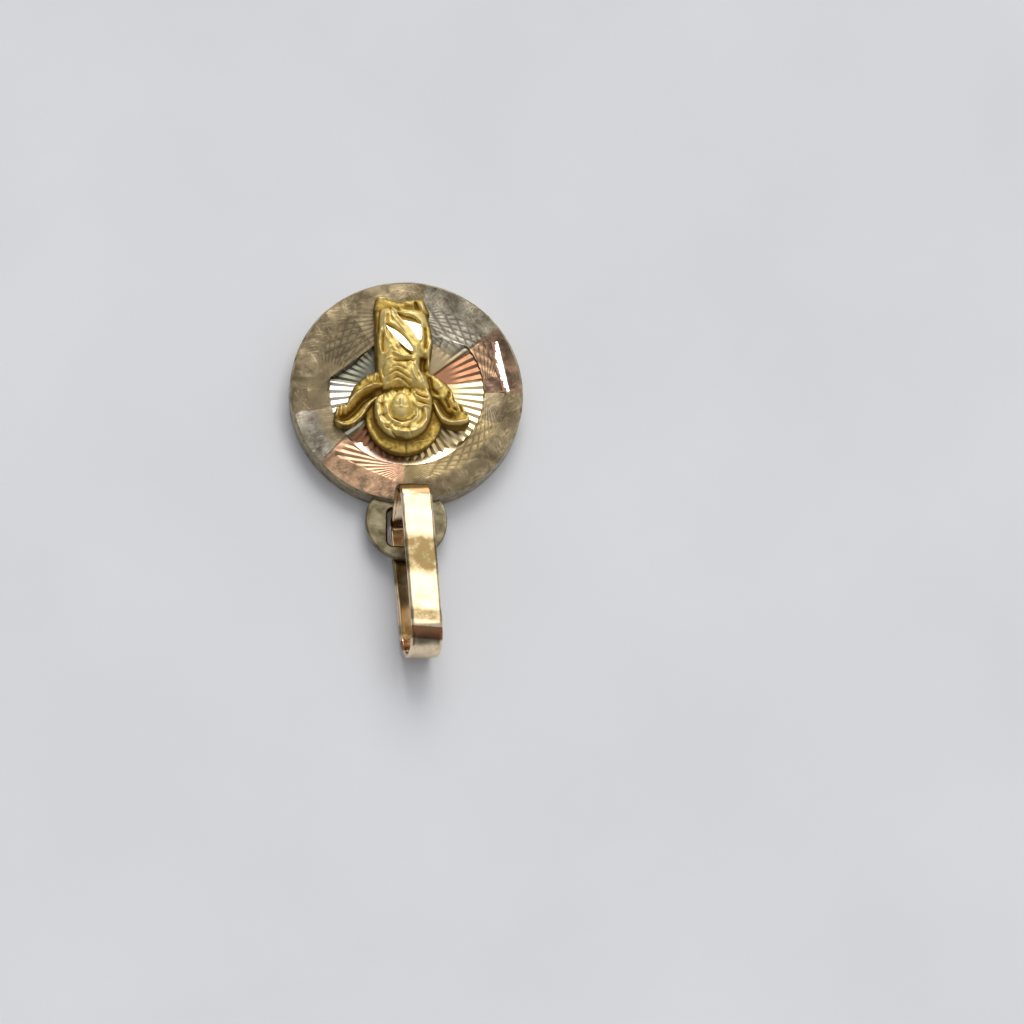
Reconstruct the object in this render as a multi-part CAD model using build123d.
from build123d import *
import math
import os

# A small round religious medal that lies on its back, face up, with its bail beside it.
# Millimetres. The face looks along +Z, the top of the medal points along +Y,
# and the origin is the middle of the flat back.

# Disc
disc_radius = 7.5
disc_thickness = 1.6
rim_chamfer = 0.2
border_apothem = 5.95       # from the centre to the straight inner edge of a border facet
border_tilt = 6.0           # degrees that a border facet falls towards the rim
border_facets = 8

# Sunburst of cut flutes
flute_count = 60
flute_inner_radius = 1.3
flute_outer_radius = 4.75
flute_depth = 0.16
flute_land = 0.03           # flat left between two flutes at their outer ends

# Ear
ear_radius = 2.62
ear_thickness = 0.5
ear_reach = 3.72            # how far the ear stands out of the rim
ear_gap_below = 0.7         # from the table to the underside of the ear
ear_chamfer = 0.12
slot_width = 2.6            # the hole is a rounded slot, as wide as the band and its play
slot_shift = -0.1           # the slot sits a little off the ear's middle
slot_bar = 0.92             # metal left between the slot and the ear's outer edge
slot_rim_gap = 0.32         # metal left between the slot and the disc
slot_corner = 0.35

# Bail, a closed band of flat strip
band_width = 2.05
band_thickness = 0.36
band_bevel = 0.2
bail_foot_radius = 1.0      # bend that lies under the ear
bail_front_radius = 1.1     # bend that stands over the rim
bail_tip_radius = 1.95      # round end, where a chain runs
bail_front_height = 4.33
bail_straight = 6.7         # from the foot bend to the round end
bail_lean = 34.0            # degrees that the side through the slot leans over the disc
bail_rim_clearance = 0.15
bail_yaw = 5.2              # degrees that the bail points off the medal's own line
bail_roll = 8.0             # degrees that its top leans to -X, against the slot's side
bail_shift = 0.15           # how far it has slid in the slot

# Raised figure, a casting soldered to the face
solder_gap = 0.02
figure_height = 10.7
halo_x = 0.22               # from the medal's own line to the halo's middle
halo_radius = 2.5
halo_height = 0.5
halo_rim = 0.26
head_width = 1.55
head_length = 2.05
head_height = 1.85
head_shift = 0.19           # from the halo's middle towards +X
head_drop = 0.5             # from the halo's middle down to the head's
nose_rise = 0.12
hair_width = 3.7
hair_length = 3.5
hair_height = 1.35
lock_width = 0.95
lock_length = 1.7
robe_width = 3.7
robe_height = 1.3
robe_shift = 0.02           # from the halo's middle towards +X
neck_drop = 1.35            # from the halo's middle down to the robe's top
hem_lift = 0.22             # from the middle of the base up to the robe's hem
sleeve_reach = 3.0          # from the robe's side to the hand
sleeve_span = 3.75          # from the sleeve's hem to its top
sleeve_height = 0.85
arm_radius = 0.4
shoulder_drop = 0.55        # from the robe's top down to the shoulder
fold_radius = 0.13
fold_margin = 0.25          # a skirt fold ends this far above the hem
cut_width = 0.62            # of the two bright cuts across the skirt
cut_lift = 0.84             # from the hem up to the middle of the lower cut
cut_gap = 1.2               # from the lower cut to the upper one
belt_height = 0.3
base_width = 3.3
base_shift = 0.1            # from the robe's middle towards -X
base_length = 1.25
base_height = 0.75

# Sizes that follow from the ones above
face_z = disc_thickness
seat_z = face_z + solder_gap
ear_y = disc_radius + ear_reach - ear_radius
ear_top = ear_gap_below + ear_thickness
slot_near = disc_radius + slot_rim_gap
slot_far = disc_radius + ear_reach - slot_bar
slot_middle = (slot_near + slot_far) / 2
figure_top = figure_height * 0.42
halo_y = figure_top - halo_radius
base_y = figure_top - figure_height + base_length / 2
head_x = halo_x + head_shift
head_y = halo_y - head_drop
robe_x = halo_x + robe_shift
robe_top = halo_y - neck_drop
robe_bottom = base_y + hem_lift
robe_length = robe_top - robe_bottom

# Each row is one cross section of the robe: share of its length from the top,
# share of its width, share of its height, and a shift to the side in shares of its width
robe_sections = [
    (0.00, 0.62, 0.70, -0.03),
    (0.10, 0.84, 0.92, -0.03),
    (0.24, 0.88, 1.00, -0.01),
    (0.38, 0.80, 0.88, 0.02),
    (0.55, 0.94, 1.00, 0.00),
    (0.80, 1.00, 0.96, 0.00),
    (1.00, 0.92, 0.78, 0.01),
]

# Each row is one point of a sleeve's outline: share of its reach from the robe's side,
# and share of its span up from the hem
left_sleeve = [
    (-0.30, 0.62),
    (0.18, 0.80),
    (0.40, 0.95),
    (0.72, 1.00),
    (0.98, 0.87),
    (0.93, 0.68),
    (0.62, 0.42),
    (0.52, 0.18),
    (0.26, 0.02),
    (-0.30, 0.10),
]
right_sleeve = [
    (-0.30, 0.56),
    (0.20, 0.74),
    (0.42, 0.93),
    (0.68, 1.00),
    (0.97, 0.94),
    (0.96, 0.74),
    (0.66, 0.50),
    (0.56, 0.24),
    (0.24, 0.00),
    (-0.30, 0.10),
]

# Each row is one drapery fold on the chest: shares of the robe's length where its two
# ends and its middle lie, and the shares of the robe's half width where it starts and ends
chest_folds = [
    (0.12, 0.20, 0.12, -0.20, 0.62),
    (0.18, 0.29, 0.19, -0.34, 0.58),
    (0.25, 0.35, 0.27, -0.40, 0.50),
]


def facet_cutter(angle):
    # a block whose underside is one border facet, falling outwards
    size = disc_radius
    block = Pos(size, 0, size / 2) * Box(2 * size, 2 * size, size)
    tilted = Pos(border_apothem, 0, face_z) * Rot(0, border_tilt, 0) * block
    return Rot(0, 0, angle) * tilted


def flute_cutter():
    # a long shallow pyramid: its point lies inwards and its deep end outwards
    half = flute_outer_radius * math.tan(math.pi / flute_count) - flute_land / 2
    end = Plane(origin=(flute_outer_radius, 0, face_z), x_dir=(0, 1, 0), z_dir=(1, 0, 0))
    triangle = end * make_face(Polyline((-half, 0), (0, -flute_depth), (half, 0), close=True))
    tip = Vertex(flute_inner_radius, 0, face_z)
    return loft([triangle, tip])


def disc_with_ear():
    plate = Pos(0, 0, face_z / 2) * Cylinder(disc_radius, disc_thickness)
    plate = chamfer(plate.edges().group_by(Axis.Z)[-1], rim_chamfer)
    ear = Pos(0, ear_y, ear_gap_below + ear_thickness / 2) * Cylinder(ear_radius, ear_thickness)
    ear = chamfer(ear.edges().filter_by(GeomType.CIRCLE), ear_chamfer)
    body = plate + ear
    step = 360 / border_facets
    for index in range(border_facets):
        body -= facet_cutter((index + 0.5) * step)
    cutter = flute_cutter()
    body -= [Rot(0, 0, index * 360 / flute_count) * cutter for index in range(flute_count)]
    outline = RectangleRounded(slot_width, slot_far - slot_near, slot_corner)
    slot = Pos(slot_shift, slot_middle, ear_gap_below - 0.1) * extrude(outline, ear_thickness + 0.2)
    return body - slot


def tangent_normal(first, second):
    # outward unit normal of the straight run from one bend to the next, anticlockwise
    dy = second[0] - first[0]
    dz = second[1] - first[1]
    length = math.hypot(dy, dz)
    along = (first[2] - second[2]) / length
    across = math.sqrt(1 - along * along)
    return ((dy * along + dz * across) / length, (dz * along - dy * across) / length)


def band_outline(bends, inset):
    # closed outline of straight runs and arcs round the bends, each (y, z, radius)
    edges = []
    count = len(bends)
    for index in range(count):
        before = bends[index - 1]
        bend = bends[index]
        after = bends[(index + 1) % count]
        start = tangent_normal(before, bend)
        end = tangent_normal(bend, after)
        first = math.atan2(start[1], start[0])
        turn = (math.atan2(end[1], end[0]) - first) % (2 * math.pi)
        radius = bend[2] - inset
        on_arc = []
        for share in (0, 0.5, 1):
            angle = first + turn * share
            on_arc.append((bend[0] + radius * math.cos(angle), bend[1] + radius * math.sin(angle)))
        edges.append(ThreePointArc(*on_arc))
        reach = after[2] - inset
        run_end = (after[0] + reach * end[0], after[1] + reach * end[1])
        edges.append(Line(on_arc[2], run_end))
    return make_face(edges)


def bail_bends():
    # the leaning side passes the rim's top corner with its clearance
    lean = math.radians(bail_lean)
    normal = (-math.cos(lean), -math.sin(lean))
    corner = (disc_radius + bail_rim_clearance, face_z + bail_rim_clearance)
    foot_z = bail_foot_radius
    along = (foot_z - bail_foot_radius * -normal[1] - corner[1]) / math.cos(lean)
    foot_y = corner[0] - along * math.sin(lean) - bail_foot_radius * normal[0]
    front_z = bail_front_height - bail_front_radius
    along = (front_z + bail_front_radius * normal[1] - corner[1]) / math.cos(lean)
    front_y = corner[0] - along * math.sin(lean) - bail_front_radius * normal[0]
    tip_y = foot_y + bail_straight
    foot = (foot_y, foot_z, bail_foot_radius)
    tip = (tip_y, bail_tip_radius, bail_tip_radius)
    front = (front_y, front_z, bail_front_radius)
    return [foot, tip, front]


def bail():
    bends = bail_bends()
    outer = Plane.YZ * band_outline(bends, 0)
    inner = Plane.YZ * band_outline(bends, band_thickness)
    block = extrude(outer, band_width / 2, both=True)
    sides = block.faces().filter_by(Axis.X)
    edges = [edge for face in sides for edge in face.outer_wire().edges()]
    block = chamfer(edges, band_bevel)
    band = block - extrude(inner, band_width, both=True)
    lift = (band_width / 2 - band_bevel) * math.sin(math.radians(bail_roll))
    place = Pos(slot_shift + bail_shift, slot_middle, lift) * Rot(0, 0, bail_yaw) * Rot(0, -bail_roll, 0)
    return place * Pos(0, -slot_middle, 0) * band


def ellipsoid(x, y, z, width, length, height):
    return Pos(x, y, z) * scale(Sphere(1), by=(width / 2, length / 2, height))


def capsule(start, end, start_radius, end_radius):
    # a tapered round limb between two points
    first = Vector(*start)
    second = Vector(*end)
    way = second - first
    plane = Plane(origin=first, z_dir=way)
    limb = plane * Cone(start_radius, end_radius, way.length, align=(Align.CENTER, Align.CENTER, Align.MIN))
    return limb + Pos(first) * Sphere(start_radius) + Pos(second) * Sphere(end_radius)


def dome_section(share, wide, high, shift):
    # a flat-bottomed arch across the robe, facing along Y
    half = robe_width * wide / 2
    rise = robe_height * high
    middle = robe_x + robe_width * shift
    y = robe_top - robe_length * share
    plane = Plane(origin=(middle, y, seat_z), x_dir=(1, 0, 0), z_dir=(0, -1, 0))
    shoulder = (half * 0.8, rise * 0.72)
    side = Line((half, 0), shoulder)
    crown = ThreePointArc(shoulder, (0, rise), (-shoulder[0], shoulder[1]))
    other = Line((-shoulder[0], shoulder[1]), (-half, 0))
    return plane * make_face([side, crown, other, Line((-half, 0), (half, 0))])


def robe():
    return loft([dome_section(*row) for row in robe_sections], ruled=True)


def sleeve(table, side):
    root_x = robe_x + side * robe_width * 0.42
    hem_y = robe_top - robe_length * 0.30
    points = [(root_x + side * sleeve_reach * a, hem_y + sleeve_span * b) for a, b in table]
    outline = make_face([Spline(*points), Line(points[-1], points[0])])
    cloth = Pos(0, 0, seat_z) * extrude(outline, sleeve_height * 0.62)
    shoulder = (root_x - side * arm_radius * 0.75, robe_top - shoulder_drop, seat_z + sleeve_height * 0.6)
    wrist = (root_x + side * sleeve_reach * 0.86, hem_y + sleeve_span * 0.8, seat_z + sleeve_height * 0.55)
    return cloth + capsule(shoulder, wrist, arm_radius * 1.25, arm_radius)


def hand(side):
    x = robe_x + side * (robe_width * 0.42 + sleeve_reach * 0.9)
    y = robe_top - robe_length * 0.30 + sleeve_span * 0.82
    return ellipsoid(x, y, seat_z + sleeve_height * 0.62, arm_radius * 1.5, arm_radius * 2.4, arm_radius * 0.8)


def halo():
    plate = Pos(halo_x, halo_y, seat_z + halo_height / 2) * Cylinder(halo_radius, halo_height)
    dish = Pos(halo_x, halo_y, seat_z + halo_height) * Cylinder(halo_radius - halo_rim, halo_height * 0.7)
    return plate - dish


def head():
    top = seat_z + head_height
    skull = ellipsoid(head_x, head_y, top - head_length * 0.42, head_width, head_length, head_length * 0.42)
    nose = ellipsoid(head_x, head_y - head_length * 0.06, top, head_width * 0.16, head_length * 0.24, nose_rise)
    return skull + nose


def hair():
    crown = ellipsoid(head_x - head_shift * 0.32, head_y + head_length * 0.12, seat_z, hair_width, hair_length, hair_height)
    locks = []
    for side in (-1, 1):
        lock_x = head_x + side * head_width * 0.72
        lock_y = head_y - head_length * 0.30
        locks.append(ellipsoid(lock_x, lock_y, seat_z + hair_height * 0.5, lock_width, lock_length, hair_height * 0.6))
    return crown + locks


def chest_fold(first, deep, last, start, end):
    # a raised round fold that hangs across the chest
    half = robe_width / 2
    lift = seat_z + robe_height * 0.93
    points = []
    for share, place in ((first, start), (deep, (start + end) / 2), (last, end)):
        drop = robe_height * 0.30 * place * place
        points.append((robe_x + half * place, robe_top - robe_length * share, lift - drop))
    path = ThreePointArc(*points)
    return sweep((path ^ 0) * Circle(fold_radius), path)


def skirt_fold(place):
    x = robe_x + robe_width / 2 * place
    top = (x * 0.86, robe_top - robe_length * 0.46, seat_z + robe_height * (0.86 - 0.2 * place * place))
    bottom = (x, robe_bottom + fold_margin, seat_z + robe_height * (0.76 - 0.2 * place * place))
    return capsule(top, bottom, fold_radius, fold_radius * 1.3)


def belt():
    y = robe_top - robe_length * 0.40
    return ellipsoid(robe_x, y, seat_z + robe_height * 0.6, robe_width * 0.86, belt_height, robe_height * 0.36)


def base():
    block = Pos(robe_x - base_shift, base_y, seat_z + base_height * 0.3) * Box(base_width, base_length, base_height * 0.6)
    lumps = []
    for share, size in ((-0.32, 1.0), (0.02, 0.85), (0.36, 0.9)):
        x = robe_x + base_width * share
        lumps.append(ellipsoid(x, base_y, seat_z, base_width * 0.42, base_length * 1.05, base_height * size))
    return block + lumps


def shin_cuts():
    # two bright diagonal facets cut across the front of the skirt
    cuts = []
    for index in range(2):
        y = robe_bottom + cut_lift + index * cut_gap
        place = Pos(robe_x - robe_width * 0.12, y, seat_z + robe_height * 0.93)
        block = Box(robe_width * 0.865, cut_width, robe_height, align=(Align.CENTER, Align.CENTER, Align.MIN))
        cuts.append(place * Rot(0, 0, -40) * Rot(24, 0, 0) * block)
    return cuts


def figure():
    body = halo() + robe() + hair() + head()
    for side, table in ((-1, left_sleeve), (1, right_sleeve)):
        body += sleeve(table, side) + hand(side)
    body += base() + belt()
    body += [chest_fold(*row) for row in chest_folds]
    body += [skirt_fold(place) for place in (-0.72, 0.28, 0.52, 0.76)]
    body -= shin_cuts()
    size = figure_height * 2
    keep = Pos(0, 0, seat_z + size / 2) * Box(size, size, size)
    return body & keep


os.makedirs("parts", exist_ok=True)
export_step(disc_with_ear(), "parts/medal_disc.step")
export_step(figure(), "parts/relief_figure.step")
export_step(bail(), "parts/bail.step")
